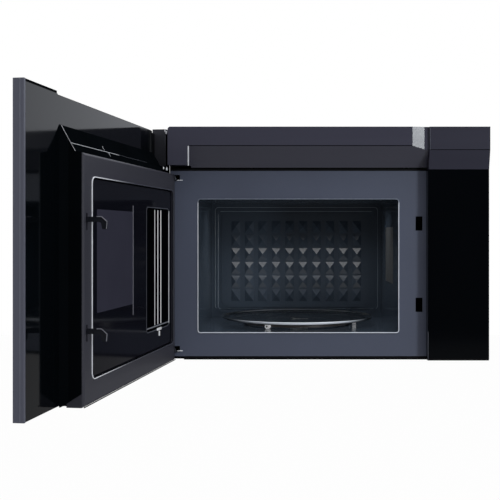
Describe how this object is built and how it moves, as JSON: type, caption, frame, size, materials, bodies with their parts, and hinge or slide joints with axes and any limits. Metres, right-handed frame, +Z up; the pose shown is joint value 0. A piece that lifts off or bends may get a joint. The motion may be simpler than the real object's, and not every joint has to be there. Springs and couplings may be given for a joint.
{
  "type": "over the range microwave",
  "caption": "Over the range microwave with a full-width side-hinged door, turntable oven, side controls in the door and a vent hood underneath.",
  "frame": {"origin": "centre of the rear face, which hangs on the wall", "axes": "+Z up, +X to the right as seen from the front, front towards -Y; the door is at rest open at the left, as in the picture"},
  "size_m": [0.7285, 0.9335, 0.442],
  "materials": {
    "case_paint": "satin dark grey paint",
    "frame_enamel": "gloss blue-grey enamel",
    "cavity_enamel": "gloss blue-grey enamel",
    "trim_finish": "satin dark slate",
    "housing_black": "gloss black",
    "pan_black": "satin black paint",
    "zinc_steel": "zinc plated",
    "charcoal": "loose black granules behind mesh",
    "mica": "grey-beige mica sheet",
    "magnetron_steel": "bare",
    "core_steel": "varnished laminations",
    "capacitor_can": "bare",
    "diode_body": "moulded",
    "bracket_plastic": "natural nylon",
    "switch_plastic": "moulded",
    "circuit_board": "green solder mask",
    "bushing_rubber": "matt",
    "lamp_housing": "white inside",
    "lens_glass": "frosted",
    "motor_steel": "plated",
    "fan_plastic": "moulded",
    "blower_metal": "bare",
    "filter_mesh": "layered mesh",
    "tray_glass": "clear, polished",
    "roller_plastic": "natural",
    "door_outer_glass": "black tinted, gloss",
    "carrier_plastic": "moulded black",
    "door_inner_gloss": "mirror-like dark gloss",
    "end_trim_paint": "satin blue-grey",
    "choke_plastic": "semi-matt grey",
    "film_dark": "dark tinted, gloss",
    "screen_metal": "perforated, black",
    "filler_black": "satin black",
    "latch_plastic": "moulded dark grey",
    "screw_steel": "plated"
  },
  "bodies": {
    "case": {"outer_case": "case_paint", "rear_panel": "case_paint", "base_pan": "pan_black", "front_frame": "frame_enamel", "oven_cavity": "cavity_enamel", "top_trim": "trim_finish", "trim_right_end": "trim_finish", "control_housing": "housing_black", "air_shelf": "pan_black", "charcoal_filter": "charcoal", "hinge_brackets": "zinc_steel", "waveguide": "zinc_steel", "waveguide_cover": "mica", "magnetron": "magnetron_steel", "high_voltage_transformer": "core_steel", "high_voltage_capacitor": "capacitor_can", "high_voltage_diode": "diode_body", "interlock_bracket": "bracket_plastic", "interlock_switches": "switch_plastic", "power_board": "circuit_board", "noise_filter": "circuit_board", "cord_bushing": "bushing_rubber", "thermal_cutouts": "switch_plastic", "oven_lamp": "lamp_housing", "cooling_fan_motor": "motor_steel", "cooling_fan_shroud": "fan_plastic", "blower_motor": "motor_steel", "blower_housings": "zinc_steel", "exhaust_collar": "zinc_steel", "lamp_lens": "lens_glass", "cooktop_lamp": "lamp_housing", "turntable_motor": "motor_steel", "case_screws": "screw_steel"},
    "door": {"door_glass": "door_outer_glass", "door_carrier": "carrier_plastic", "door_back_skin": "door_inner_gloss", "door_end_trim": "end_trim_paint", "door_hinge_cap": "end_trim_paint", "touch_board": "circuit_board", "choke_cover": "choke_plastic", "door_frame": "filler_black", "window_film": "film_dark", "window_screen": "screen_metal", "door_top_filler": "filler_black", "door_side_cover": "filler_black", "door_hinge_plates": "zinc_steel", "door_screws": "screw_steel", "latch_spring": "screw_steel"},
    "latch": {"latch_lever": "latch_plastic"},
    "turntable": {"turntable_tray": "tray_glass", "turntable_coupler": "roller_plastic"},
    "roller_ring_body": {"roller_ring": "roller_plastic"},
    "roller_body_1": {"roller_1": "roller_plastic"},
    "roller_body_2": {"roller_2": "roller_plastic"},
    "roller_body_3": {"roller_3": "roller_plastic"},
    "cooling_fan": {"cooling_fan_blade": "fan_plastic"},
    "blower": {"blower_wheels": "blower_metal"},
    "damper": {"exhaust_damper": "zinc_steel"},
    "left_filter": {"grease_filter_left": "filter_mesh"},
    "right_filter": {"grease_filter_right": "filter_mesh"}
  },
  "joints": [
    {"name": "door_hinge", "type": "hinge", "parent": "case", "child": "door", "pos_m": [-0.293, -0.3484, 0], "axis": [0, 0, 1], "range_deg": [0, 98.3]},
    {"name": "latch_lift", "type": "slide", "parent": "door", "child": "latch", "axis": [0, 0, 1], "range_m": [0, 0.004], "stiffness_N_per_m": 600, "springref_m": -0.008, "deforming": ["latch_spring"]},
    {"name": "tray_spin", "type": "hinge", "parent": "case", "child": "turntable", "pos_m": [-0.057, -0.1845, -0.16], "axis": [0, 0, 1], "continuous": true},
    {"name": "ring_spin", "type": "hinge", "parent": "case", "child": "roller_ring_body", "pos_m": [-0.057, -0.1845, -0.16], "axis": [0, 0, 1], "continuous": true},
    {"name": "roller_1_spin", "type": "hinge", "parent": "roller_ring_body", "child": "roller_body_1", "pos_m": [0.062, -0.1845, -0.1636], "axis": [1, 0, 0], "continuous": true},
    {"name": "roller_2_spin", "type": "hinge", "parent": "roller_ring_body", "child": "roller_body_2", "pos_m": [-0.1165, -0.08144, -0.1636], "axis": [-0.5, 0.866, 0], "continuous": true},
    {"name": "roller_3_spin", "type": "hinge", "parent": "roller_ring_body", "child": "roller_body_3", "pos_m": [-0.1165, -0.28756, -0.1636], "axis": [-0.5, -0.866, 0], "continuous": true},
    {"name": "cooling_fan_spin", "type": "hinge", "parent": "case", "child": "cooling_fan", "pos_m": [0.222, -0.049, -0.022], "axis": [0, -1, 0], "continuous": true},
    {"name": "blower_spin", "type": "hinge", "parent": "case", "child": "blower", "pos_m": [0, -0.089, 0.148], "axis": [1, 0, 0], "continuous": true},
    {"name": "damper_hinge", "type": "hinge", "parent": "case", "child": "damper", "pos_m": [0, -0.05175, 0.2156], "axis": [-1, 0, 0], "range_deg": [0, 75]},
    {"name": "left_filter_slide", "type": "slide", "parent": "case", "child": "left_filter", "axis": [0, 1, 0], "range_m": [0, 0.012]},
    {"name": "right_filter_slide", "type": "slide", "parent": "case", "child": "right_filter", "axis": [0, 1, 0], "range_m": [0, 0.012]}
  ],
  "couplings": [
    {"joint": "ring_spin", "follows": "tray_spin", "ratio": 0.5},
    {"joint": "roller_1_spin", "follows": "tray_spin", "ratio": -11.9},
    {"joint": "roller_2_spin", "follows": "tray_spin", "ratio": -11.9},
    {"joint": "roller_3_spin", "follows": "tray_spin", "ratio": -11.9}
  ]
}
